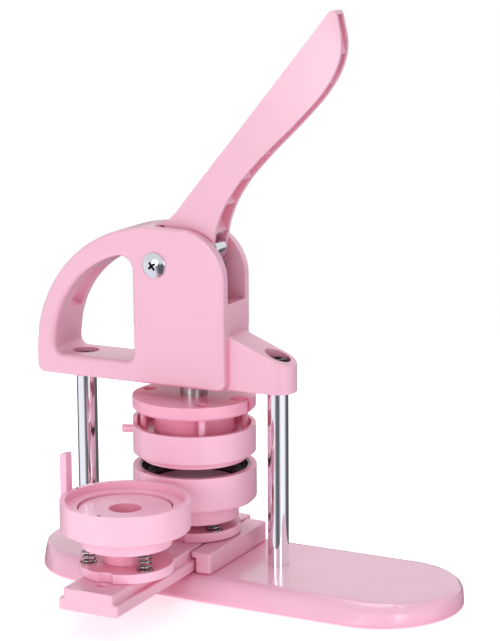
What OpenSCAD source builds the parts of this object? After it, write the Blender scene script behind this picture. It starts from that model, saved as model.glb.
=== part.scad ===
// Button badge maker: a hand press with a sliding pair of lower dies.
// X runs along the base, Y runs back along the die slide, Z is up.
// The origin is on the underside of the feet, below the ram. Units: millimetres.

/* [View] */
// Which sub-part to draw

/* [Base] */
// Half width of the foot print
base_r = 51.5; // [45:0.5:60]
// Half width of the top deck
deck_r = 38.3; // [34:0.1:44]
// Height of the deck
deck_z = 13.7; // [12:0.1:18]
// Shell thickness
wall = 3; // [2:0.2:5]

/* [Columns] */
// Column radius
col_r = 6.45; // [5:0.05:8]
// X of the left column
col_xl = -77.4; // [-90:0.1:-70]
// X of the right column
col_xr = 57.8; // [50:0.1:70]
// Underside of the head
head_z = 122.6; // [110:0.2:140]

/* [Head] */
// Head thickness along Y
head_t = 35.8; // [30:0.2:40]
// Lever slot width along Y
slot_w = 23; // [20:0.2:26]
// Height of the slot floor
slot_z = 175.6; // [170:0.1:180]

/* [Lever] */
// X of the pivot
piv_x = -17; // [-22:0.1:-14]
// Z of the pivot
piv_z = 197.2; // [190:0.1:204]
// Lever thickness at the root
lev_t = 20.6; // [16:0.1:22]
// X of the roller
rol_x = 14.1; // [10:0.1:18]
// Z of the roller
rol_z = 206.2; // [200:0.1:210]
// Roller radius
rol_r = 6.9; // [5:0.1:9]

/* [Upper die] */
// Ram radius
ram_r = 8.55; // [6:0.05:12]
// Disc radius
disc_r = 38.3; // [30:0.1:45]
// Underside of the disc
disc_z = 106.7; // [100:0.1:112]
// Top of the disc
disc_top = 115.1; // [110:0.1:120]
// Ring top
ring_top = 97; // [92:0.1:102]
// Ring shoulder
ring_z = 79.7; // [76:0.1:84]
// Ring pilot underside
pilot_z = 75.3; // [72:0.1:78]

/* [Lower dies] */
// Distance between the two stations
pitch = 86.4; // [80:0.1:95]
// Height of both rims
rim_z = 70.9; // [68:0.1:74]
// Outer radius of the cups
cup_r = 38.6; // [36:0.1:42]
// Top of the slide bar
bar_z = 27.3; // [24:0.1:30]
// Top of the die trays
tray_z = 33.2; // [30:0.1:36]
// Tray radius
tray_r = 28.2; // [24:0.1:32]

/* [Hidden] */
$fn = 96;
pink = [0.95, 0.75, 0.83];
steel = [0.72, 0.72, 0.74];
dark = [0.12, 0.10, 0.11];
rail_x = 20.6;
rail_top = 26.9;
flange_top = 21.2;
slide_front = -131.2;
slide_back = 44.8;
peg_a = 197;
post_a = 27;
spring_a = [-146, -30, 90];
feet = [[-68, -26], [-68, 26], [135, -26], [135, 26], [0, 0]];

// ---------- helpers ----------
module ring_seg(r0, r1, h, a0, a1)
    rotate([0, 0, a0])
        rotate_extrude(angle = a1 - a0)
            translate([r0, 0])
                square([r1 - r0, h]);

module coil(rm, rw, z0, z1, n) {
    // stacked turns on a thin inner sleeve
    translate([0, 0, z0])
        difference() {
            cylinder(r = rm, h = z1 - z0);
            translate([0, 0, -1])
                cylinder(r = rm - rw * 0.6, h = z1 - z0 + 2);
        }
    for (i = [0 : n - 1])
        translate([0, 0, z0 + rw + i * (z1 - z0 - 2 * rw) / (n - 1)])
            rotate_extrude()
                translate([rm, 0])
                    circle(r = rw, $fn = 24);
}

module stadium(xa, xb, r, h) {
    hull() {
        translate([xa, 0, 0])
            cylinder(r = r, h = h, $fn = 72);
        translate([xb, 0, 0])
            cylinder(r = r, h = h, $fn = 72);
    }
}

module screw_head(r, h) {
    // domed head with a cross recess, top at z = h
    difference() {
        intersection() {
            cylinder(r = r, h = h);
            translate([0, 0, h - r * 2.2])
                sphere(r = r * 2.2);
        }
        for (a = [0, 90])
            rotate([0, 0, a])
                translate([-r * 0.45, -r * 0.09, h * 0.45])
                    cube([r * 0.9, r * 0.18, h]);
    }
}

// ---------- stand ----------
// height, corner radius and end centres of the base's levels, from foot to deck
function base_levels() = [[1.2, base_r, -51.5, 124.7], [2.2, base_r, -51.5, 124.7],
    [8.5, 48.2, -54.2, 127.8], [11.3, 45.2, -56.9, 129.7], [12.9, 42, -60, 131.4],
    [deck_z, deck_r, -63, 132.5]];

module base_outer() {
    // rounded sides: wide foot, narrower deck
    hull()
        for (l = base_levels())
            for (x = [l[2], l[3]])
                translate([x, 0, l[0] - 0.4])
                    cylinder(r = l[1], h = 0.4, $fn = 72);
}

module base_inner(g) {
    hull() {
        for (x = [-51.5, 124.7])
            translate([x, 0, 0.78])
                cylinder(r = base_r - g, h = 1.2, $fn = 96);
        for (x = [-63, 132.5])
            translate([x, 0, deck_z - 1 - g])
                cylinder(r = deck_r - g, h = 0.98, $fn = 96);
    }
}

module base_shell() {
    color(pink)
        difference() {
            union() {
                difference() {
                    base_outer();
                    difference() {
                        base_inner(wall);
                        for (x = [col_xl, col_xr])
                            translate([x, 0, -1])
                                cylinder(r = 15, h = 20);
                        for (x = [-40, 0, 30, 90, 125])
                            translate([x - 1.2, -60, 3])
                                cube([2.4, 120, 20]);
                        for (y = [-20, 20])
                            translate([-110, y - 1.2, 3])
                                cube([300, 2.4, 20]);
                        for (p = feet)
                            translate([p[0], p[1], -1])
                                cylinder(r = 10.5, h = 20);
                        for (x = [-26, 26], y = [-30, 30])
                            translate([x, y, -1])
                                cylinder(r = 4.5, h = 20);
                    }
                    // open the underside
                    difference() {
                        translate([0, 0, 0.5])
                            stadium(-51.5, 124.7, base_r - 4.2, 0.9);
                        for (x = [col_xl, col_xr])
                            translate([x, 0, -1])
                                cylinder(r = 15, h = 20);
                        for (p = feet)
                            translate([p[0], p[1], -1])
                                cylinder(r = 10.5, h = 20);
                        for (x = [-26, 26], y = [-30, 30])
                            translate([x, y, -1])
                                cylinder(r = 4.5, h = 20);
                    }
                }
            }
            // column bolts and their hex pockets
            for (x = [col_xl, col_xr]) {
                translate([x, 0, -1])
                    cylinder(r = 3.3, h = 20);
                translate([x, 0, -1])
                    cylinder(r = 8.5, h = 7.5);
                translate([x, 0, deck_z - 1.5])
                    cylinder(r = col_r + 0.05, h = 4);
            }
            // feet recesses
            for (p = feet)
                translate([p[0], p[1], -1])
                    cylinder(r = 8.1, h = 3.3);
            // rail screw holes
            for (x = [-26, 26], y = [-30, 30]) {
                translate([x, y, -1])
                    cylinder(r = 1.9, h = 20);
                translate([x, y, -1])
                    cylinder(r = 3.6, h = 4);
            }
        }
}

module rubber_feet() {
    color(dark)
        for (p = feet)
            translate([p[0], p[1], 0])
                union() {
                    cylinder(r1 = 7.2, r2 = 8, h = 0.8);
                    translate([0, 0, 0.8])
                        cylinder(r = 8, h = 1.5);
                }
}

module guide_rails() {
    // a pair of lipped guides that the slide bar runs between
    color(pink)
        for (s = [-1, 1])
            difference() {
                union() {
                    translate([s > 0 ? rail_x : -31, -39.4, deck_z])
                        cube([31 - rail_x, 76.6, rail_top - deck_z]);
                    translate([s > 0 ? 17.7 : -rail_x - 0.1, -39.4, 23])
                        cube([rail_x - 17.7 + 0.1, 76.6, rail_top - 23]);
                }
                for (y = [-30, 30])
                    translate([s * 26, y, deck_z - 1])
                        cylinder(r = 1.5, h = 10);
            }
}

module rail_screws() {
    color(steel)
        for (x = [-26, 26], y = [-30, 30])
            translate([x, y, 0])
                union() {
                    translate([0, 0, 1])
                        cylinder(r = 3.4, h = 2);
                    translate([0, 0, 3])
                        cylinder(r = 1.5, h = 17);
                }
}

module columns() {
    color(steel)
        for (x = [col_xl, col_xr])
            difference() {
                translate([x, 0, deck_z - 1.5])
                    cylinder(r = col_r, h = head_z - deck_z + 1.5);
                translate([x, 0, deck_z - 2])
                    cylinder(r = 3, h = 22);
                translate([x, 0, head_z - 20])
                    cylinder(r = 3, h = 22);
            }
}

module foot_bolts() {
    color(dark)
        for (x = [col_xl, col_xr])
            translate([x, 0, 0])
                difference() {
                    union() {
                        translate([0, 0, 1.2])
                            cylinder(r = 5.4, h = 4, $fn = 6);
                        translate([0, 0, 5.2])
                            cylinder(r = 3, h = 22);
                    }
                    translate([0, 0, 0])
                        cylinder(r = 2.4, h = 3, $fn = 6);
                }
}

module foot_washers() {
    color(steel)
        for (x = [col_xl, col_xr])
            translate([x, 0, 5.3])
                difference() {
                    cylinder(r = 7.4, h = 1.2);
                    translate([0, 0, -1])
                        cylinder(r = 3.2, h = 4);
                }
}

// outline of the head in X and Z
module head_outline() {
    intersection() {
        translate([-19, 136.4])
            circle(r = 83.9, $fn = 180);
        translate([-103, 136.4])
            square([84.1, 84]);
    }
    translate([-19.1, 127.5])
        square([19, 92.8]);
    translate([-0.4, 127.5])
        square([30.4, 62.5]);
    translate([-0.3, 190])
        circle(r = 30.3, $fn = 144);
    translate([-102.9, 127.5])
        square([84, 9]);
    translate([-97.9, head_z])
        square([122.9, 5]);
    for (x = [-97.9, 25])
        translate([x, head_z + 5])
            circle(r = 5);
}

// D shaped hand hole
module hand_hole() {
    intersection() {
        translate([-29.5, 142])
            circle(r = 60.5, $fn = 180);
        union() {
            translate([-91, 140.7])
                square([57.8, 51.3]);
            translate([-91, 190])
                square([48.8, 15]);
            translate([-84.9, 135.5])
                square([46.5, 10]);
            translate([-84.9, 140.7])
                circle(r = 5.2);
            translate([-38.4, 140.7])
                circle(r = 5.2);
            translate([-42.2, 192])
                circle(r = 9);
        }
    }
}

module arm_side() {
    // side view of the arm, its top sloping down to the right
    polygon([[25, head_z], [72, head_z], [72, 139.3], [31, 155.9], [25, 155.9]]);
}

module head_housing() {
    color(pink)
        difference() {
            union() {
                rotate([90, 0, 0])
                    linear_extrude(height = head_t, center = true)
                        difference() {
                            head_outline();
                            hand_hole();
                        }
                // arm over the right column
                intersection() {
                    rotate([90, 0, 0])
                        linear_extrude(height = 40, center = true)
                            arm_side();
                    union() {
                        translate([25, -11.8, head_z - 1])
                            cube([col_xr - 25, 23.6, 40]);
                        translate([col_xr, 0, head_z - 1])
                            cylinder(r = 11.8, h = 40);
                    }
                }
                // boss over the left column
                translate([col_xl, 0, head_z - 1.6])
                    cylinder(r = 11.6, h = 2);
            }
            translate([col_xl, 0, head_z - 5])
                cylinder(r = col_r, h = 5);
            // hollow in the grip
            translate([0, 3.5, 0])
                rotate([90, 0, 0])
                    linear_extrude(height = 16, center = true)
                        translate([-29.5, 142])
                            intersection() {
                                difference() {
                                    circle(r = 72.5, $fn = 180);
                                    circle(r = 57, $fn = 180);
                                }
                                polygon([[0, 0], [-94, 34], [-94, 90], [-66, 80]]);
                            }
            // column bolt pockets
            translate([col_xl, 0, 128])
                cylinder(r = 8.4, h = 10);
            translate([col_xr, 0, 136])
                cylinder(r = 7.9, h = 24);
            for (x = [col_xl, col_xr])
                translate([x, 0, 115])
                    cylinder(r = 3.3, h = 30);
            // lever slot, open at the top and the right
            translate([-16, -slot_w / 2, slot_z])
                cube([60, slot_w, 60]);
            rotate([90, 0, 0])
                linear_extrude(height = slot_w, center = true)
                    polygon([[-29.6, 182], [-29.6, 204], [-27, 209.5], [-22, 214.2], [-15.5, 218.4],
                        [-15.5, slot_z], [-24, slot_z]]);
            // ram bore and spring pocket
            translate([0, 0, head_z - 5])
                cylinder(r = 10.6, h = 60);
            translate([0, 0, 150])
                cylinder(r = 11.3, h = 39.5);
            // pivot
            translate([piv_x, 0, piv_z])
                rotate([90, 0, 0])
                    cylinder(r = 4.05, h = 60, center = true);
        }
}

module head_bolts() {
    color(dark)
        for (p = [[col_xl, 128], [col_xr, 136]])
            translate([p[0], 0, 0])
                difference() {
                    union() {
                        translate([0, 0, p[1] + 1.2])
                            cylinder(r = 5.4, h = 4.2);
                        translate([0, 0, head_z - 18])
                            cylinder(r = 3, h = p[1] + 2 - head_z + 18);
                    }
                    translate([0, 0, p[1] + 3])
                        cylinder(r = 2.9, h = 4, $fn = 6);
                }
}

module head_washers() {
    color(steel)
        for (p = [[col_xl, 128], [col_xr, 136]])
            translate([p[0], 0, p[1]])
                difference() {
                    cylinder(r = 7.6, h = 1.2);
                    translate([0, 0, -1])
                        cylinder(r = 3.2, h = 4);
                }
}

module ram_bush() {
    color([0.78, 0.66, 0.35])
        translate([0, 0, head_z])
            difference() {
                cylinder(r = 10.6, h = 27.4);
                translate([0, 0, -1])
                    cylinder(r = ram_r + 0.05, h = 40);
            }
}

module pivot_bolt() {
    // cross head sleeve bolt, head on the front face
    color(steel)
        translate([piv_x, 0, piv_z])
            rotate([90, 0, 0])
                union() {
                    translate([0, 0, -head_t / 2])
                        cylinder(r = 4, h = head_t);
                    translate([0, 0, head_t / 2])
                        screw_head(7.9, 3.2);
                }
}

module pivot_nut() {
    color(steel)
        translate([piv_x, 0, piv_z])
            rotate([-90, 0, 0])
                translate([0, 0, head_t / 2 + 0.05])
                    screw_head(7.9, 3.2);
}

// ---------- lever ----------
// a smooth curve through points, with n steps between each pair
function between(a, b, c, d, t) = 0.5 * (2 * b + (c - a) * t + (2 * a - 5 * b + 4 * c - d) * t * t
    + (3 * b - a - 3 * c + d) * t * t * t);
function smooth(p, n) = [for (i = [0 : len(p) - 2], k = [0 : n - 1])
    between(p[max(i - 1, 0)], p[i], p[i + 1], p[min(i + 2, len(p) - 1)], k / n), p[len(p) - 1]];

// outline of the lever blade in X and Z, without the hub
function spine() = [[-20.5, 220.9], [-20.3, 221.8], [-15, 222.6], [-10.6, 224.6], [-5.7, 229.4],
    [3.5, 240.9], [12.8, 252.3], [22, 263.6], [31.3, 274.8], [40.3, 285.9], [49.1, 296.8],
    [58.1, 307.7], [66.8, 318.5], [75.4, 329.1], [91.6, 349.2], [92.9, 350.9], [94.4, 352],
    [96, 352.6], [97.4, 352], [98.3, 350.4]];
function lower_edge() = [[99, 347.2], [100.1, 342.5], [101, 338], [101.4, 333.4], [101.1, 328.6],
    [100, 323.6], [98, 318.4], [95.3, 313.2], [91.8, 307.8], [87.7, 302.4], [82.7, 296.8],
    [77.3, 291.2], [66.1, 280.1], [54, 268.7], [42.9, 257.2], [37.8, 251.4], [33.4, 245.7],
    [29.6, 240], [26.3, 234.2], [23.8, 228.5], [21.8, 222.8], [20.5, 217.2]];
function blade() = concat(spine(), smooth(lower_edge(), 3));

// rib ends by turns on the lower edge and on the spine, from the root to the tip
function ribs() = [[2, 224], [20, 217.5], [7, 240], [26, 236], [19, 255], [37, 252], [33, 272],
    [50, 267], [47, 289], [64, 281], [60, 305], [79, 296], [73, 321], [92, 311], [86, 337],
    [100, 328], [95, 348]];

module lever_profile() {
    polygon(concat(blade(), [[19.6, 212.5], [18.6, 208], [16.5, 203.8], [12.5, 201.4],
        [6, 200.8], [-5, 199.5], [-12, 191], [-23.4, 201.5], [-22, 210.4], [-15, 216.5],
        [-13.2, 220.9]]));
}

// the hollow behind the spine, open along the lower edge
module lever_hollow() {
    polygon([[-1, 226], [5.8, 239], [15.1, 250.4], [24.3, 261.7], [33.6, 272.9], [42.6, 284],
        [51.4, 294.9], [60.4, 305.8], [69.1, 316.6], [77.7, 327.2], [92.5, 345.5], [94.6, 348.6],
        [95.6, 349.8], [97, 350.2], [112, 350.2], [112, 320], [104, 305], [50, 247],
        [32, 225], [27, 208], [27, 190], [-5.2, 190], [-5.2, 203], [-3, 213]]);
}

module rib(p, q) {
    d = q - p;
    translate(p)
        rotate(atan2(d[1], d[0]))
            translate([0, -0.8])
                square([norm(d), 1.6]);
}

// thinner towards the tip
module lever_taper(cheek) {
    a = lev_t / 2 - cheek;
    b = 5.3 - cheek * 0.85;
    translate([piv_x, 0, piv_z])
        rotate([0, -52.7, 0])
            translate([0, 0, -60])
                linear_extrude(height = 120)
                    polygon([[-30, -a], [32, -a], [175, -b], [205, -b], [205, b], [175, b],
                        [32, a], [-30, a]]);
}

module lever_shell() {
    color(pink)
        difference() {
            intersection() {
                lever_taper(0);
                union() {
                    rotate([90, 0, 0])
                        linear_extrude(height = lev_t + 2, center = true)
                            lever_profile();
                    translate([piv_x, 0, piv_z])
                        rotate([90, 0, 0])
                            cylinder(r = 9.8, h = lev_t + 4, center = true);
                }
            }
            intersection() {
                lever_taper(2.9);
                rotate([90, 0, 0])
                    linear_extrude(height = lev_t + 2, center = true)
                        difference() {
                            lever_hollow();
                            for (k = [0 : len(ribs()) - 2])
                                rib(ribs()[k], ribs()[k + 1]);
                        }
            }
            // roller pin
            translate([rol_x, 0, rol_z])
                rotate([90, 0, 0])
                    cylinder(r = 2.5, h = 40, center = true);
            // pivot
            translate([piv_x, 0, piv_z])
                rotate([90, 0, 0])
                    cylinder(r = 5.5, h = 40, center = true);
        }
}

module lever_bush() {
    color(steel)
        translate([piv_x, 0, piv_z])
            rotate([90, 0, 0])
                difference() {
                    cylinder(r = 5.5, h = lev_t, center = true);
                    cylinder(r = 4.05, h = 40, center = true);
                }
}

module roller() {
    color(steel)
        translate([rol_x, 0, rol_z])
            rotate([90, 0, 0])
                difference() {
                    cylinder(r = rol_r, h = 12.4, center = true);
                    cylinder(r = 2.55, h = 40, center = true);
                }
}

module roller_pin() {
    color(steel)
        translate([rol_x, 0, rol_z])
            rotate([90, 0, 0])
                cylinder(r = 2.5, h = 20, center = true);
}

// ---------- ram and upper die ----------
module ram_shaft() {
    color(steel)
        difference() {
            translate([0, 0, 108.7])
                cylinder(r = ram_r, h = 80.3);
            translate([0, 0, 100])
                cylinder(r = 2.5, h = 24);
        }
}

module ram_head() {
    color(steel)
        intersection() {
            translate([-4.5, -6.6, 189])
                cube([25, 13.2, 9.9]);
            translate([2, 0, 180])
                cylinder(r = 19, h = 30);
        }
}

module return_spring() {
    color(steel)
        coil(9.95, 0.9, 150, 189, 9);
}

module press_disc() {
    color(pink)
        difference() {
            union() {
                translate([0, 0, disc_z + 1.6])
                    cylinder(r = disc_r, h = disc_top - disc_z - 1.6);
                translate([0, 0, disc_z])
                    cylinder(r1 = disc_r - 1.6, r2 = disc_r, h = 1.6);
                translate([0, 0, 89.2])
                    cylinder(r = 24.9, h = disc_z - 89.2 + 0.1);
            }
            // ram socket
            translate([0, 0, 108.7])
                cylinder(r = ram_r, h = 20);
            translate([0, 0, 80])
                cylinder(r = 2.8, h = 40);
            // clearance holes that the ring posts drop into at the other station
            translate([31.5, 0, 100])
                cylinder(r = 5.6, h = 20);
            translate([31, -2.2, 100])
                cube([12, 4.4, 20]);
            rotate([0, 0, 180])
                translate([31.5, 0, 100])
                    cylinder(r = 4.1, h = 20);
            // stud recesses
            for (a = [-53, 127])
                rotate([0, 0, a])
                    translate([30.6, 0, 0]) {
                        translate([0, 0, 112.6])
                            cylinder(r = 4.3, h = 10);
                        translate([0, 0, 100])
                            cylinder(r = 1.6, h = 20);
                    }
        }
}

module press_plate() {
    color(pink)
        difference() {
            translate([0, 0, 79.2])
                cylinder(r = 29.1, h = 10);
            translate([0, 0, 78])
                cylinder(r = 24, h = 4.2);
            translate([0, 0, 70])
                cylinder(r = 2.8, h = 40);
            translate([0, 0, 78])
                cylinder(r = 5.6, h = 8);
        }
}

module plate_studs() {
    // two spacers between the disc and the press plate
    color(pink)
        for (a = [-53, 127])
            rotate([0, 0, a])
                translate([30.6, 0, 0])
                    union() {
                        translate([0, 0, 93])
                            cylinder(r = 2.3, h = disc_z - 93);
                        translate([0, 0, disc_z])
                            cylinder(r = 1.6, h = 5.9);
                    }
}

module plate_screw() {
    color(steel)
        difference() {
            union() {
                translate([0, 0, 82])
                    cylinder(r = 5, h = 4);
                translate([0, 0, 86])
                    cylinder(r = 2.5, h = 36);
            }
            translate([0, 0, 81])
                cylinder(r = 2.4, h = 3, $fn = 6);
        }
}

module upper_ring() {
    color(pink)
        union() {
            difference() {
                union() {
                    translate([0, 0, ring_z])
                        cylinder(r = 38.2, h = ring_top + 4 - ring_z);
                    translate([0, 0, pilot_z])
                        cylinder(r = 32.7, h = ring_z - pilot_z + 0.1);
                }
                // rim cut down, except for the raised lip by the peg
                translate([0, 0, ring_top])
                    ring_seg(30, 45, 10, 212, 544);
                // well above the floor
                translate([0, 0, 92.5])
                    cylinder(r = 35.4, h = 20);
                // hole for the core
                translate([0, 0, 85])
                    cylinder(r = 25.25, h = 20);
                // cavity round the press plate
                translate([0, 0, 70])
                    cylinder(r = 29.5, h = 19.5);
            }
            // side peg
            rotate([0, 0, peg_a])
                translate([36.4, 0, 91.2])
                    rotate([0, 90, 0])
                        cylinder(r = 2.5, h = 9.3);
            // posts that bear on the disc
            for (a = [post_a, post_a + 182])
                rotate([0, 0, a])
                    translate([31.4, 0, 92])
                        cylinder(r = 2.15, h = disc_z - 0.35 - 92);
            rotate([0, 0, 57])
                translate([30.4, 0, 92])
                    cylinder(r = 1.7, h = 9);
        }
}

// ---------- slide ----------
module slide_bar() {
    color(pink)
        difference() {
            union() {
                translate([-19.6, slide_front, deck_z + 0.3])
                    cube([39.2, slide_back - slide_front, flange_top - deck_z - 0.3]);
                translate([-16.4, slide_front, flange_top - 0.1])
                    cube([32.8, slide_back - slide_front, bar_z - flange_top + 0.1]);
            }
            // hollow underside
            for (p = [[-127, -110], [-106, -68], [-64, -20], [-16, 16], [20, 41]])
                translate([-15.6, p[0], deck_z - 1])
                    cube([31.2, p[1] - p[0], 8]);
            translate([1.6, -117.5, 10])
                cylinder(r = 2.7, h = 40);
            for (y = [0, -pitch])
                translate([0, y, 10])
                    cylinder(r = 2.1, h = 40);
        }
}

module tray(y) {
    difference() {
        translate([0, y, bar_z])
            cylinder(r = tray_r, h = tray_z - bar_z);
        translate([0, y, 10])
            cylinder(r = 2.1, h = 40);
        rotate([0, 0, 0])
            translate([2.5, y - 31.5, bar_z - 1])
                cylinder(r = 6, h = 20);
        for (a = spring_a)
            translate([0, y, 0])
                rotate([0, 0, a])
                    translate([22, 0, tray_z - 1.5])
                        cylinder(r = 4.8, h = 5);
    }
}

module tray_a() {
    color(pink)
        tray(-pitch);
}

module tray_b() {
    color(pink)
        tray(0);
}

module boss(y, top) {
    difference() {
        translate([0, y, tray_z])
            cylinder(r = 13.8, h = top - tray_z);
        translate([0, y, 10])
            cylinder(r = 2.1, h = 34);
        translate([0, y, top - 7])
            cylinder(r = 9.7, h = 10);
    }
}

module boss_a() {
    color(pink)
        boss(-pitch, 57);
}

module boss_b() {
    color(pink)
        boss(0, 54);
}

module boss_screws() {
    color(steel)
        for (y = [0, -pitch])
            translate([0, y, 0])
                union() {
                    translate([0, 0, 17.9])
                        cylinder(r = 4.2, h = 2.8);
                    translate([0, 0, 20.7])
                        cylinder(r = 2, h = 22);
                }
}

// ---------- die A ----------
module cup_a() {
    color(pink)
        translate([0, -pitch, 0])
            difference() {
                union() {
                    translate([0, 0, 53.7])
                        cylinder(r = cup_r, h = rim_z - 53.7);
                    translate([0, 0, 52.7])
                        cylinder(r1 = cup_r - 1, r2 = cup_r, h = 1);
                    translate([0, 0, 43.8])
                        cylinder(r = 27.4, h = 9);
                    // upright bar that turns the ring peg
                    translate([-43.1, 3.9, 0])
                        rotate([90, 0, 0])
                            linear_extrude(height = 6.5)
                                polygon([[0, 62], [5.8, 56], [5.8, rim_z], [4.4, rim_z], [4.4, 94],
                                    [0, 93]]);
                }
                // paper recess
                translate([0, 0, 66.6])
                    cylinder(r = 35.4, h = 10);
                // well for the core
                translate([0, 0, 57.6])
                    cylinder(r = 28.4, h = 20);
                // sliding bore
                translate([0, 0, 30])
                    cylinder(r = 14.2, h = 40);
                // spring pockets
                for (a = spring_a)
                    rotate([0, 0, a])
                        translate([22, 0, 40])
                            cylinder(r = 4.9, h = 10);
            }
}

module core_a() {
    color(pink)
        translate([0, -pitch, 0])
            difference() {
                translate([0, 0, 57])
                    union() {
                        translate([0, 0, 3])
                            cylinder(r = 27.7, h = 5.2);
                        cylinder(r = 13.8, h = 3.1);
                    }
                translate([0, 0, 57.9])
                    cylinder(r = 9.7, h = 20);
                translate([0, 0, 50])
                    cylinder(r = 3, h = 20);
            }
}

module springs(y, z1) {
    for (a = spring_a)
        translate([0, y, 0])
            rotate([0, 0, a])
                translate([22, 0, 0])
                    coil(3.7, 0.6, tray_z - 1.5, z1, 7);
}

module springs_a() {
    color(steel)
        springs(-pitch, 50);
}

// ---------- die B ----------
module cup_b() {
    color(pink)
        difference() {
            union() {
                translate([0, 0, 50.6])
                    cylinder(r = cup_r, h = rim_z - 50.6);
                translate([0, 0, 48.6])
                    cylinder(r1 = cup_r - 2, r2 = cup_r, h = 2);
                translate([0, 0, 37.7])
                    cylinder(r = 27.2, h = 11);
            }
            // collar recess
            translate([0, 0, 57])
                cylinder(r = 34.1, h = 20);
            // well for the core
            translate([0, 0, 52.4])
                cylinder(r = 28.4, h = 20);
            translate([0, 0, 30])
                cylinder(r = 14.2, h = 40);
            for (a = spring_a)
                rotate([0, 0, a])
                    translate([22, 0, 34])
                        cylinder(r = 4.9, h = 12);
        }
}

module crimp_ring() {
    // blackened collar that folds the shell edge
    color(dark)
        difference() {
            translate([0, 0, 57])
                cylinder(r = 34.1, h = 13.4);
            translate([0, 0, 62.4])
                cylinder(r = 33.05, h = 20);
            translate([0, 0, 50])
                cylinder(r = 28.9, h = 20);
        }
}

module core_b() {
    color(pink)
        difference() {
            translate([0, 0, 54])
                union() {
                    translate([0, 0, 2])
                        cylinder(r = 27.7, h = 3);
                    cylinder(r = 13.8, h = 2.1);
                }
            translate([0, 0, 50])
                cylinder(r = 3, h = 20);
        }
}

module springs_b() {
    color(steel)
        springs(0, 46);
}

// ---------- draw ----------
base_shell();
rubber_feet();
guide_rails();
rail_screws();
columns();
foot_bolts();
foot_washers();
head_housing();
head_bolts();
head_washers();
ram_bush();
pivot_bolt();
pivot_nut();
lever_shell();
lever_bush();
roller();
roller_pin();
ram_shaft();
ram_head();
return_spring();
press_disc();
press_plate();
plate_studs();
plate_screw();
upper_ring();
slide_bar();
tray_a();
tray_b();
boss_a();
boss_b();
boss_screws();
cup_a();
core_a();
springs_a();
cup_b();
crimp_ring();
core_b();
springs_b();
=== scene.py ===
import math

import bmesh
import bpy
from mathutils import Matrix, Vector


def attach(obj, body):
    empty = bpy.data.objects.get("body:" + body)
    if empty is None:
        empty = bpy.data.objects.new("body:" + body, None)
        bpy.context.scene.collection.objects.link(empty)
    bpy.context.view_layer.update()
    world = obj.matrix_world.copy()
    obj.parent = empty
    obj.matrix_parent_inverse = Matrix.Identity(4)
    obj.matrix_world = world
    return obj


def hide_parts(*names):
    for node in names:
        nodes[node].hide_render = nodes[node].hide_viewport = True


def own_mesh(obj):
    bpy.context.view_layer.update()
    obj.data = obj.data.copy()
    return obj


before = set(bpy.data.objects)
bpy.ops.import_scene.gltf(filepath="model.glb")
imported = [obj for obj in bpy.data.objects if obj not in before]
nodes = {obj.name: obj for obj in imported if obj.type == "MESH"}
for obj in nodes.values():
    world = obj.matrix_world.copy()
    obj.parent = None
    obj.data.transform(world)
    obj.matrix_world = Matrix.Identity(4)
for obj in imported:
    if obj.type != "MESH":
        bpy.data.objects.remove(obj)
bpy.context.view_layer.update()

MM = 0.001
scene = bpy.context.scene

# places shared by several pieces, in millimetres
HALF = 17.9
COLUMN_LEFT = -77.4
COLUMN_RIGHT = 57.8
PIVOT = (-17, 197.2)
HEAD_BOTTOM = 122.6
POCKET_LEFT = 128
POCKET_RIGHT = 136
SPRING_SEAT = 150
SPRING_TOP = 189
FRONT_DIE_Y = -86.4
DIE_RIM = 70.9

# ---------- camera ----------
def make_camera():
    yaw, pitch, roll = (math.radians(a) for a in (27.396, 11.651, -0.435))
    fwd = Vector((-math.sin(yaw) * math.cos(pitch), math.cos(yaw) * math.cos(pitch), -math.sin(pitch)))
    right = Vector((math.cos(yaw), math.sin(yaw), 0))
    up = right.cross(fwd)
    r2 = math.cos(roll) * right + math.sin(roll) * up
    u2 = -math.sin(roll) * right + math.cos(roll) * up
    data = bpy.data.cameras.new("camera")
    data.sensor_fit = "HORIZONTAL"
    data.sensor_width = 36
    data.lens = 151.47
    data.shift_x = 0.0352
    data.shift_y = -0.0168
    data.clip_start = 0.05
    data.clip_end = 40
    cam = bpy.data.objects.new("camera", data)
    scene.collection.objects.link(cam)
    m = Matrix.Identity(4)
    for i, v in enumerate((r2, u2, -fwd)):
        for k in range(3):
            m[k][i] = v[k]
    m.translation = Vector((0.6036, -1.1123, 0.4272))
    cam.matrix_world = m
    scene.camera = cam


make_camera()
scene.view_settings.view_transform = "Standard"
scene.view_settings.look = "None"


# ---------- materials ----------
class Graph:
    """A small helper for building node trees."""

    def __init__(self, name):
        self.mat = bpy.data.materials.new(name)
        self.mat.use_nodes = True
        self.tree = self.mat.node_tree
        self.bsdf = self.tree.nodes["Principled BSDF"]

    def node(self, kind):
        return self.tree.nodes.new(kind)

    def link(self, a, b):
        self.tree.links.new(a, b)

    def set(self, **values):
        for k, v in values.items():
            self.bsdf.inputs[k.replace("_", " ")].default_value = v


def ramp(g, fac, stops):
    r = g.node("ShaderNodeValToRGB")
    while len(r.color_ramp.elements) < len(stops):
        r.color_ramp.elements.new(0.5)
    for e, (p, c) in zip(r.color_ramp.elements, stops):
        e.position = p
        e.color = (*c, 1)
    g.link(fac, r.inputs["Fac"])
    return r.outputs["Color"]


def noise(g, scale, detail=2, rough=0.5, stretch=None):
    co = g.node("ShaderNodeTexCoord").outputs["Object"]
    if stretch:
        m = g.node("ShaderNodeMapping")
        m.inputs["Scale"].default_value = stretch
        g.link(co, m.inputs["Vector"])
        co = m.outputs["Vector"]
    n = g.node("ShaderNodeTexNoise")
    n.inputs["Scale"].default_value = scale
    n.inputs["Detail"].default_value = detail
    n.inputs["Roughness"].default_value = rough
    g.link(co, n.inputs["Vector"])
    return n.outputs["Fac"]


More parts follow.
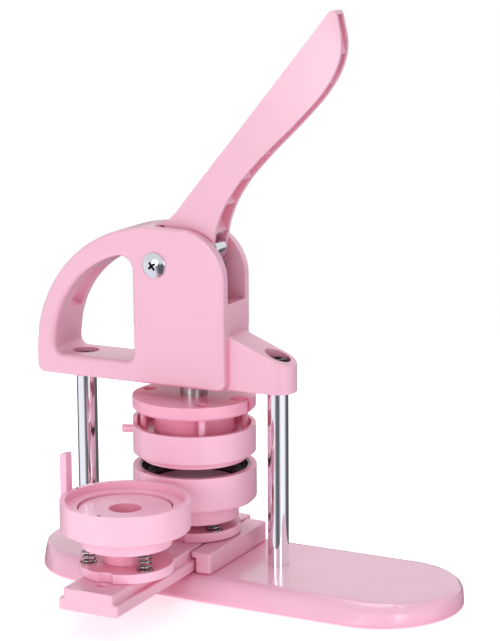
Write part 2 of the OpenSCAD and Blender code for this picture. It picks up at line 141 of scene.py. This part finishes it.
def bump(g, height, strength, distance):
    b = g.node("ShaderNodeBump")
    b.inputs["Strength"].default_value = strength
    b.inputs["Distance"].default_value = distance
    g.link(height, b.inputs["Height"])
    g.link(b.outputs["Normal"], g.bsdf.inputs["Normal"])


def value_range(g, fac, lo, hi):
    m = g.node("ShaderNodeMapRange")
    m.inputs["To Min"].default_value = lo
    m.inputs["To Max"].default_value = hi
    g.link(fac, m.inputs["Value"])
    return m.outputs["Result"]


def plastic(name, low, high, rough, coat=0.25, sub=0.10, grain=0.10, painted_shade=None):
    """Injection-moulded plastic: slight mottling, fine grain, gloss that varies a little.
    Given a shade colour, painted shade: the colour is mixed towards that one in corners and recesses, which
    an ambient occlusion node finds."""
    g = Graph(name)
    colour = ramp(g, noise(g, 28, 3), [(0.3, low), (0.7, high)])
    # painted shade: an ambient occlusion mask mixes the colour towards the shade colour in corners and
    # recesses
    if painted_shade:
        ao = g.node("ShaderNodeAmbientOcclusion")
        ao.inputs["Distance"].default_value = 0.022
        ao.samples = 12
        shade_mask = g.node("ShaderNodeMapRange")
        for k, v in (("From Min", 0.25), ("From Max", 0.85), ("To Min", 0.7), ("To Max", 0.0)):
            shade_mask.inputs[k].default_value = v
        g.link(ao.outputs["AO"], shade_mask.inputs["Value"])
        m = g.node("ShaderNodeMix")
        m.data_type = "RGBA"
        g.link(shade_mask.outputs["Result"], m.inputs["Factor"])
        a, b = [i for i in m.inputs if i.type == "RGBA"]
        g.link(colour, a)
        b.default_value = (*painted_shade, 1)
        colour = [o for o in m.outputs if o.type == "RGBA"][0]
    g.link(colour, g.bsdf.inputs["Base Color"])
    g.link(value_range(g, noise(g, 90, 3), rough - 0.04, rough + 0.05), g.bsdf.inputs["Roughness"])
    g.set(Coat_Weight=coat, Coat_Roughness=0.10, IOR=1.48)
    g.set(Subsurface_Weight=sub, Subsurface_Radius=(1.0, 0.35, 0.45), Subsurface_Scale=0.003)
    bump(g, noise(g, 900, 2), grain, 0.00012)
    return g.mat


def metal(name, low, high, rough, stretch=(1, 1, 1), spread=0.03, grain=0.06):
    """Turned, plated or drawn metal with faint polishing marks."""
    g = Graph(name)
    g.link(ramp(g, noise(g, 60, 3, 0.5, stretch), [(0.25, low), (0.75, high)]), g.bsdf.inputs["Base Color"])
    g.link(value_range(g, noise(g, 240, 3, 0.5, stretch), max(0.02, rough - spread), rough + spread),
           g.bsdf.inputs["Roughness"])
    g.set(Metallic=1.0)
    bump(g, noise(g, 500, 2, 0.5, stretch), grain, 0.00005)
    return g.mat


# colour of the painted shade in the corners and recesses of the pink parts
SHADE_ROSE = (0.80, 0.235, 0.36)
PINK = plastic("pink_shell", (0.795, 0.470, 0.590), (0.815, 0.490, 0.610), 0.30, coat=0.30, painted_shade=SHADE_ROSE)
BASE = plastic("pink_base", (0.820, 0.480, 0.620), (0.840, 0.500, 0.640), 0.24, coat=0.6, painted_shade=SHADE_ROSE)
DIE = plastic("pink_die", (0.880, 0.520, 0.660), (0.900, 0.540, 0.680), 0.32, coat=0.25, painted_shade=SHADE_ROSE)
DISC = plastic("pink_disc", (0.86, 0.42, 0.56), (0.88, 0.44, 0.58), 0.34, coat=0.12, painted_shade=SHADE_ROSE)
CHROME = metal("column_chrome", (0.80, 0.81, 0.83), (0.88, 0.88, 0.90), 0.07, (1, 1, 0.05))
BRIGHT = metal("bright_chrome", (0.62, 0.64, 0.68), (0.74, 0.75, 0.79), 0.14)
STEEL = metal("steel", (0.36, 0.35, 0.35), (0.52, 0.51, 0.50), 0.26, (1, 1, 1), 0.06)
SPRING = metal("spring_steel", (0.30, 0.29, 0.28), (0.44, 0.43, 0.42), 0.24, (1, 1, 1), 0.06)
BLACK = metal("blackened", (0.030, 0.028, 0.030), (0.060, 0.055, 0.058), 0.30, (1, 1, 1), 0.08)
BRONZE = metal("bronze", (0.42, 0.26, 0.13), (0.55, 0.36, 0.19), 0.33, (1, 1, 0.2), 0.06)
CRIMP = plastic("black_plastic", (0.030, 0.007, 0.011), (0.046, 0.012, 0.018), 0.12, coat=0.25, sub=0.0)
MARK = plastic("black_ink", (0.010, 0.009, 0.010), (0.018, 0.016, 0.018), 0.45, coat=0.0, sub=0.0,
               grain=0.05)
RUBBER = plastic("black_rubber", (0.018, 0.018, 0.018), (0.030, 0.030, 0.030), 0.75, coat=0.0, sub=0.0,
                 grain=0.4)


# ---------- edges ----------
def clean(o, weld):
    """Joins split corners and merges flat neighbours, so that a bevel sees only real edges."""
    w = o.modifiers.new("weld", "WELD")
    w.merge_threshold = weld
    d = o.modifiers.new("planar", "DECIMATE")
    d.decimate_type = "DISSOLVE"
    d.angle_limit = math.radians(0.4)


def round_edges(o, width, segments, angle, clamp=True):
    b = o.modifiers.new("edges", "BEVEL")
    b.width = width * MM
    b.segments = segments
    b.limit_method = "ANGLE"
    b.angle_limit = math.radians(angle)
    b.use_clamp_overlap = clamp


# ---------- CAD nodes that stay ----------
def keep(names, mat, width=0.4, segments=3, angle=35, clamp=True):
    """Rounds the moulded or turned edges of a CAD node and gives it its finish."""
    for n in names.split():
        o = nodes[n]
        o.data.materials.clear()
        o.data.materials.append(mat)
        clean(o, 0.00001)
        round_edges(o, width, segments, angle, clamp)
        o.modifiers.new("normals", "WEIGHTED_NORMAL").keep_sharp = False
        for p in o.data.polygons:
            p.use_smooth = True


keep("base_shell", BASE, 1.0, 4, 20)
keep("slide_bar guide_rails", PINK, 1.3, 4, clamp=False)
keep("tray_a tray_b", DIE, 0.5, clamp=False)
keep("boss_a boss_b plate_studs", DIE, 0.5)
keep("upper_ring cup_a cup_b core_a core_b", DIE, 0.7)
keep("press_plate", DIE, 0.5)
keep("press_disc", DISC, 0.6)
keep("lever_shell", PINK, 0.8, 3, 40)
keep("columns", CHROME, 0.3)
keep("roller", BRIGHT, 0.5)
keep("roller_pin lever_bush ram_shaft ram_head", STEEL, 0.2)
keep("foot_washers head_washers rail_screws boss_screws plate_screw", STEEL, 0.2)
keep("foot_bolts", BLACK, 0.25)
keep("ram_bush", BRONZE, 0.2)
keep("crimp_ring", CRIMP, 0.4)
keep("rubber_feet", RUBBER, 0.6)


# ---------- building blocks for new pieces, in millimetres ----------
def make(name, bm, mat, smooth=True):
    me = bpy.data.meshes.new(name)
    bm.to_mesh(me)
    bm.free()
    for p in me.polygons:
        p.use_smooth = smooth
    o = bpy.data.objects.new(name, me)
    scene.collection.objects.link(o)
    if mat:
        me.materials.append(mat)
    return o


def settle(o, body, slot, *stands_for):
    """Puts a new piece on its body in place of its CAD nodes; slot is not used."""
    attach(o, body)
    if stands_for:
        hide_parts(*stands_for)
    return o


def arc(cx, cz, r, a0, a1, n):
    return [(cx + r * math.cos(math.radians(a0 + (a1 - a0) * i / n)),
             cz + r * math.sin(math.radians(a0 + (a1 - a0) * i / n))) for i in range(n + 1)]


def thin(points, gap=0.05):
    """The closed outline without points that lie on each other."""
    out = []
    for p in points:
        if not out or math.dist(p, out[-1]) > gap:
            out.append(p)
    while math.dist(out[0], out[-1]) < gap:
        out.pop()
    return out


def shifted(points, d):
    """The closed outline moved by d to its right-hand side, corner by corner."""
    out = []
    n = len(points)
    for i in range(n):
        p, q, r = (Vector(points[(i + k) % n]) for k in (-1, 0, 1))
        a, b = (q - p).normalized(), (r - q).normalized()
        na, nb = Vector((a.y, -a.x)), Vector((b.y, -b.x))
        m = na + nb
        m = m / max(0.35, m.length_squared / 2)
        out.append(tuple(q + m * d))
    return out


def tube(bm, loops):
    """Quads between closed loops of the same length."""
    rings = [[bm.verts.new(Vector(p) * MM) for p in loop] for loop in loops]
    for a, b in zip(rings, rings[1:]):
        for i in range(len(a)):
            k = (i + 1) % len(a)
            bm.faces.new((a[i], a[k], b[k], b[i]))
    return rings


def rounded_loops(outline, half, radius, steps, out):
    """Loops across the thickness of a wall along an outline, with rounded edges.
    out is +1 where the material is inside the outline and -1 round a hole."""
    loops = []
    for side in (-1, 1):
        for k in range(steps + 1):
            t = math.radians(90 * (k if side < 0 else steps - k) / steps)
            d = -radius * (1 - math.sin(t))
            y = side * (half - radius + radius * math.cos(t))
            loops.append([(x, y, z) for x, z in shifted(outline, d * out)])
    return loops


def fill(bm, *rings):
    edges = []
    for ring in rings:
        for i in range(len(ring)):
            e = bm.edges.get((ring[i], ring[(i + 1) % len(ring)]))
            edges.append(e)
    bmesh.ops.triangle_fill(bm, use_beauty=True, use_dissolve=False, edges=edges)


def solid(name, first, last, mat=None):
    """A closed solid between two loops of the same length."""
    bm = bmesh.new()
    rings = tube(bm, [first, last])
    bm.faces.new(rings[0])
    bm.faces.new(rings[1][::-1])
    bmesh.ops.recalc_face_normals(bm, faces=bm.faces)
    return make(name, bm, mat)


def prism(name, outline, y0, y1):
    """A plate with its outline in X and Z, between y0 and y1."""
    return solid(name, *([(x, y, z) for x, z in outline] for y in (y0, y1)))


def rod(name, centre, axis, r, a, b, n=72):
    """A round cutter or pin along Y or Z."""
    circle = [(centre[0] + r * math.cos(2 * math.pi * i / n), centre[1] + r * math.sin(2 * math.pi * i / n))
              for i in range(n)]
    if axis == "Y":
        return prism(name, circle, a, b)
    return solid(name, *([(x, y, z) for x, y in circle] for z in (a, b)))


def apply(o):
    """Turns the modifiers' result into the piece's own mesh."""
    dg = bpy.context.evaluated_depsgraph_get()
    me = bpy.data.meshes.new_from_object(o.evaluated_get(dg))
    o.modifiers.clear()
    old = o.data
    o.data = me
    bpy.data.meshes.remove(old)


def combine(o, operation, *others):
    """Joins other solids to a piece or cuts them from it, and removes them."""
    for c in others:
        m = o.modifiers.new("bool", "BOOLEAN")
        m.operation = operation
        m.object = c
        m.solver = "EXACT"
        m.material_mode = "TRANSFER"
        bpy.context.view_layer.update()
        apply(o)
        me = c.data
        bpy.data.objects.remove(c)
        bpy.data.meshes.remove(me)


def soften(o, width, segments=3, angle=40):
    """Rounds the edges of a new piece and keeps the result as its mesh."""
    clean(o, 0.000005)
    round_edges(o, width, segments, angle)
    o.modifiers.new("normals", "WEIGHTED_NORMAL")
    apply(o)
    for p in o.data.polygons:
        p.use_smooth = True


def lathe(bm, profile, centre, n=96):
    """A closed profile of (radius, z) turned round a vertical axis."""
    rings = []
    for r, z in profile:
        if r < 1e-6:
            rings.append([bm.verts.new(Vector((centre[0], centre[1], z)) * MM)])
        else:
            rings.append([bm.verts.new(Vector((centre[0] + r * math.cos(2 * math.pi * i / n),
                                               centre[1] + r * math.sin(2 * math.pi * i / n), z)) * MM)
                          for i in range(n)])
    for a, b in zip(rings, rings[1:]):
        for i in range(n):
            k = (i + 1) % n
            q = [a[i % len(a)], a[k % len(a)], b[k % len(b)], b[i % len(b)]]
            q = list(dict.fromkeys(q))
            if len(q) > 2:
                bm.faces.new(q)


# ---------- head ----------
def make_head():
    # anticlockwise seen from the front: bottom, right side, top, left side
    outer = thin([(-97.9, HEAD_BOTTOM), *arc(25, 127.6, 5, -90, 0, 8), *arc(-0.3, 190, 30.3, 0, 90, 28),
                  *arc(-19, 136.4, 83.9, 90, 180, 60), *arc(-97.9, 127.6, 5, 180, 262, 7)])
    top = math.degrees(math.atan2(50, -12.7))
    hole = thin([*arc(-38.4, 140.7, 5.2, -90, 0, 8), *arc(-42.2, 192, 9, 0, top, 12),
                 *arc(-29.5, 142, 60.5, top, 180, 44), *arc(-84.8, 140.7, 5.2, 180, 268, 8)])
    bm = bmesh.new()
    out = tube(bm, rounded_loops(outer, HALF, 1.8, 6, 1))
    inn = tube(bm, rounded_loops(hole, HALF, 3.2, 8, -1))
    fill(bm, out[0], inn[0])
    fill(bm, out[-1], inn[-1])
    bmesh.ops.recalc_face_normals(bm, faces=bm.faces)
    head = make("head", bm, PINK)

    # arm with its round end and sloping top
    wide = 11.8
    plan = thin([(24, -wide), *arc(COLUMN_RIGHT, 0, wide, -90, 90, 36), (24, wide)])
    bm = bmesh.new()
    rings = tube(bm, [[(x, y, HEAD_BOTTOM) for x, y in plan],
                      [(x, y, 155.9 - 0.405 * (x - 31)) for x, y in plan]])
    bm.faces.new(rings[0])
    bm.faces.new(rings[1][::-1])
    bmesh.ops.recalc_face_normals(bm, faces=bm.faces)
    rim = [e for e in bm.edges if any(all(v in ring for v in e.verts) for ring in rings)]
    bmesh.ops.bevel(bm, geom=rim, offset=1.1 * MM, segments=4, profile=0.5, affect="EDGES",
                    clamp_overlap=True)
    arm = make("arm", bm, None)
    boss = rod("boss", (COLUMN_LEFT, 0), "Z", 11.6, 121, 124)
    combine(head, "UNION", arm, boss)

    grip = thin([*arc(-29.5, 142, 72.5, 128.0, 160.1, 24), *arc(-29.5, 142, 56, 160.1, 128.0, 24)])
    slot = [(-16, 175.6), (44, 175.6), (44, 240), (-16, 240)]
    cavity = [(-29.6, 182), (-24, 175.7), (-15.5, 175.7), (-15.5, 218.4), (-22, 214.2),
              (-27, 209.5), (-29.6, 204)]
    combine(head, "DIFFERENCE",
            prism("c0", grip, -4.5, 11.5),
            prism("c1", slot, -11.5, 11.5),
            prism("c2", cavity, -11.5, 11.5),
            rod("c3", (0, 0), "Z", 10.6, 117, 180),
            rod("c4", (0, 0), "Z", 11.3, SPRING_SEAT, SPRING_TOP + 0.5),
            rod("c5", (COLUMN_LEFT, 0), "Z", 8.4, POCKET_LEFT, 138),
            rod("c6", (COLUMN_RIGHT, 0), "Z", 7.9, POCKET_RIGHT, 160),
            rod("c7", (COLUMN_LEFT, 0), "Z", 6.5, 118, HEAD_BOTTOM),
            rod("c8", PIVOT, "Y", 4.05, -30, 30))
    soften(head, 0.5)
    settle(head, "stand", "pink_shell", "head_housing")


make_head()


# ---------- pivot screws ----------
def make_pivot(name, side, node):
    """A truss head with a cross recess; the shank is on the front one."""
    bm = bmesh.new()
    r, h = 7.9, 3.2
    profile = [(0, 0.0), (r - 0.4, 0.0), (r, 0.3), (r, 0.75)]
    big = (r * r + (h - 0.75) ** 2) / (2 * (h - 0.75))
    for k in range(1, 15):
        x = r * (1 - k / 14)
        profile.append((x, h - big + math.sqrt(big * big - x * x)))
    if side < 0:
        profile = [(0, -2 * HALF + 0.3), (3.95, -2 * HALF + 0.3), (3.95, 0.0), *profile[1:]]
    lathe(bm, profile, (0, 0), 96)
    bmesh.ops.recalc_face_normals(bm, faces=bm.faces)
    o = make(name, bm, BRIGHT)
    cuts = []
    for turn in (38, 128):
        c, s = math.cos(math.radians(turn)), math.sin(math.radians(turn))
        ends = [[(x * c - y * s, x * s + y * c, z) for x, y in ((-l, -w), (l, -w), (l, w), (-l, w))]
                for l, w, z in ((1.5, 0.5, 0.3), (3.5, 0.85, h + 0.6))]
        cuts.append(solid("cut", *ends, BLACK))
    combine(o, "DIFFERENCE", *cuts)
    soften(o, 0.12, 2)
    place = Vector((PIVOT[0], side * (HALF + 0.02), PIVOT[1])) * MM
    turn = Matrix.Rotation(math.radians(90 if side < 0 else -90), 4, "X")
    o.data.transform(Matrix.Translation(place) @ turn)
    settle(o, "stand", "bright_chrome", node)


make_pivot("pivot_screw_front", -1, "pivot_bolt")
make_pivot("pivot_screw_back", 1, "pivot_nut")


# ---------- springs ----------
def coil(bm, cx, cy, z0, z1, r, wire, turns, start=0.0, closed=1.0):
    """A compression spring with closed, ground ends."""
    per, ring = 28, 8
    path = []
    n = int(turns * per)
    rise = z1 - z0 - 2 * wire
    for i in range(n + 1):
        t = i / per
        if t < closed:
            h = wire * 1.9 * t / closed * 0.5
        elif t > turns - closed:
            h = rise - wire * 1.9 * (turns - t) / closed * 0.5
        else:
            lo, hi = wire * 0.95, rise - wire * 0.95
            h = lo + (hi - lo) * (t - closed) / (turns - 2 * closed)
        a = start + 2 * math.pi * t
        path.append(Vector((cx + r * math.cos(a), cy + r * math.sin(a), z0 + wire + h)))
    rings = []
    for i, p in enumerate(path):
        d = (path[min(i + 1, n)] - path[max(i - 1, 0)]).normalized()
        out = Vector((p.x - cx, p.y - cy, 0)).normalized()
        up = d.cross(out).normalized()
        out = up.cross(d).normalized()
        rings.append([bm.verts.new((p + wire * (math.cos(2 * math.pi * k / ring) * out
                                                + math.sin(2 * math.pi * k / ring) * up)) * MM)
                      for k in range(ring)])
    for a, b in zip(rings, rings[1:]):
        for k in range(ring):
            j = (k + 1) % ring
            bm.faces.new((a[k], a[j], b[j], b[k]))
    bm.faces.new(rings[0][::-1])
    bm.faces.new(rings[-1])


def make_springs():
    for name, cy, top, joint, keep_share in (("springs_a", FRONT_DIE_Y, 50.0, "front_die_float", 0.69),
                                             ("springs_b", 0.0, 46.0, "rear_die_float", 0.69)):
        bm = bmesh.new()
        for a in (-146, -30, 90):
            x, y = 22 * math.cos(math.radians(a)), cy + 22 * math.sin(math.radians(a))
            coil(bm, x, y, 31.7, top, 3.7, 0.6, 7.5, math.radians(a * 1.7))
        bmesh.ops.recalc_face_normals(bm, faces=bm.faces)
        o = make("die_" + name, bm, SPRING)
        settle(o, "slide", "steel", name)
        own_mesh(o)
    bm = bmesh.new()
    coil(bm, 0, 0, SPRING_SEAT, SPRING_TOP, 9.95, 0.9, 8.5)
    bmesh.ops.recalc_face_normals(bm, faces=bm.faces)
    o = make("ram_return_spring", bm, SPRING)
    settle(o, "stand", "steel", "return_spring")
    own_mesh(o)


make_springs()


# ---------- column bolts in the head ----------
def make_bolts():
    bm = bmesh.new()
    spots = ((COLUMN_LEFT, POCKET_LEFT, 133.6), (COLUMN_RIGHT, POCKET_RIGHT, 143.2))
    for x, z0, z1 in spots:
        lathe(bm, [(0, z0 - 20), (3.0, z0 - 20), (3.0, z0 + 0.05), (7.5, z0 + 0.05), (7.5, z0 + 1.2),
                   (5.4, z0 + 1.2), (5.4, z1 - 0.5), (4.9, z1), (0, z1)], (x, 0), 48)
    bmesh.ops.recalc_face_normals(bm, faces=bm.faces)
    o = make("column_bolts", bm, BLACK)
    cuts = []
    for x, z0, z1 in spots:
        hexagon = [(x + 2.9 * math.cos(math.radians(60 * k + 10)), 2.9 * math.sin(math.radians(60 * k + 10)))
                   for k in range(6)]
        cuts.append(solid("cut", *([(px, py, z) for px, py in hexagon] for z in (z1 - 2.6, z1 + 1)), BLACK))
    combine(o, "DIFFERENCE", *cuts)
    soften(o, 0.12, 2)
    settle(o, "stand", "blackened", "head_bolts")


make_bolts()


# ---------- index dots ----------
def make_dots():
    marks = (("index_dots_front", "front_die", FRONT_DIE_Y, 37.0, (-84, 171)),
             ("index_dots_rear", "rear_die", 0.0, 36.4, (-118,)))
    for name, body, cy, r, turns in marks:
        bm = bmesh.new()
        for a in turns:
            x, y = r * math.cos(math.radians(a)), cy + r * math.sin(math.radians(a))
            lathe(bm, [(0, DIE_RIM - 0.25), (0.95, DIE_RIM - 0.25), (0.95, DIE_RIM + 0.04),
                       (0.8, DIE_RIM + 0.12), (0, DIE_RIM + 0.14)], (x, y), 24)
        bmesh.ops.recalc_face_normals(bm, faces=bm.faces)
        settle(make(name, bm, MARK), body, "blackened")


make_dots()


# ---------- studio ----------
FLOOR = 0.75


def make_floor():
    """A round white table, lit a little more towards its edge so that it meets the white room."""
    g = Graph("floor")
    g.link(ramp(g, noise(g, 3, 2), [(0.3, (0.93, 0.93, 0.93)), (0.7, (0.95, 0.95, 0.95))]),
           g.bsdf.inputs["Base Color"])
    co = g.node("ShaderNodeTexCoord").outputs["Object"]
    far = g.node("ShaderNodeVectorMath")
    far.operation = "LENGTH"
    g.link(co, far.inputs[0])
    glow = g.node("ShaderNodeMapRange")
    glow.interpolation_type = "SMOOTHSTEP"
    for k, v in (("From Min", 0.2), ("From Max", FLOOR), ("To Min", 0.48), ("To Max", 1.0)):
        glow.inputs[k].default_value = v
    g.link(far.outputs["Value"], glow.inputs["Value"])
    g.link(glow.outputs["Result"], g.bsdf.inputs["Emission Strength"])
    g.set(Roughness=0.7, Emission_Color=(1, 1, 1, 1))
    bm = bmesh.new()
    bmesh.ops.create_circle(bm, cap_ends=True, radius=FLOOR, segments=96)
    floor = make("floor", bm, g.mat, False)
    floor.visible_glossy = False


def make_world():
    """A white room to the eye, an even soft light, and light and dark walls for the metal."""
    world = bpy.data.worlds.new("studio")
    world.use_nodes = True
    t = world.node_tree

    def node(kind, **inputs):
        n = t.nodes.new(kind)
        for k, v in inputs.items():
            n.inputs[k].default_value = v
        return n

    paths = node("ShaderNodeLightPath")
    split = node("ShaderNodeSeparateXYZ")
    t.links.new(node("ShaderNodeTexCoord").outputs["Generated"], split.inputs[0])
    turn = node("ShaderNodeMath")
    turn.operation = "ARCTAN2"
    t.links.new(split.outputs["Y"], turn.inputs[0])
    t.links.new(split.outputs["X"], turn.inputs[1])
    unit = node("ShaderNodeMapRange")
    unit.inputs["From Min"].default_value = -math.pi
    unit.inputs["From Max"].default_value = math.pi
    t.links.new(turn.outputs[0], unit.inputs["Value"])
    walls = node("ShaderNodeValToRGB")
    # four cards round the room: where each starts and ends, in degrees from the right side,
    # and how bright it is, with a soft join between neighbours
    join = 10
    cards = [(-180, -100, 1.0), (-90, -50, 0.15), (-40, 10, 1.1), (30, 180, 0.12)]
    stops = [(angle, v) for start, end, v in cards
             for angle in (max(start + join / 2, -180), min(end - join / 2, 180))]
    while len(walls.color_ramp.elements) < len(stops):
        walls.color_ramp.elements.new(0.5)
    for e, (angle, v) in zip(walls.color_ramp.elements, stops):
        e.position = (angle + 180) / 360
        e.color = (v * 0.98, v * 0.985, v * 1.06, 1)
    t.links.new(unit.outputs["Result"], walls.inputs["Fac"])
    rise = node("ShaderNodeMapRange")
    rise.inputs["From Min"].default_value = 0.0
    rise.inputs["From Max"].default_value = 0.12
    t.links.new(split.outputs["Z"], rise.inputs["Value"])

    def mix(factor, a, b):
        m = node("ShaderNodeMix")
        m.data_type = "RGBA"
        t.links.new(factor, m.inputs["Factor"])
        for socket, value in zip([i for i in m.inputs if i.type == "RGBA"], (a, b)):
            if isinstance(value, tuple):
                socket.default_value = value
            else:
                t.links.new(value, socket)
        return [o for o in m.outputs if o.type == "RGBA"][0]

    room = mix(rise.outputs["Result"], walls.outputs["Color"], (0.95, 0.95, 0.97, 1))
    lit = mix(paths.outputs["Is Glossy Ray"], (0.47, 0.405, 0.43, 1), room)
    seen = mix(paths.outputs["Is Camera Ray"], lit, (1, 1, 1, 1))
    t.links.new(seen, t.nodes["Background"].inputs["Color"])
    scene.world = world


def softbox(name, place, aim, size, power, tint=(1, 1, 1)):
    data = bpy.data.lights.new(name, "AREA")
    data.shape = "RECTANGLE"
    data.size, data.size_y = size
    data.energy = power
    data.color = tint
    o = bpy.data.objects.new(name, data)
    scene.collection.objects.link(o)
    o.location = place
    o.rotation_mode = "QUATERNION"
    o.rotation_quaternion = (Vector(aim) - Vector(place)).to_track_quat("-Z", "Y")


make_floor()
make_world()
softbox("key", (-0.35, -1.9, 0.50), (0, 0, 0.13), (0.8, 0.7), 11)
softbox("fill", (1.6, -1.2, 0.55), (0, 0, 0.12), (0.6, 0.9), 7)
softbox("top", (-0.1, 0.5, 1.9), (0, 0, 0.1), (1.2, 1.2), 12)
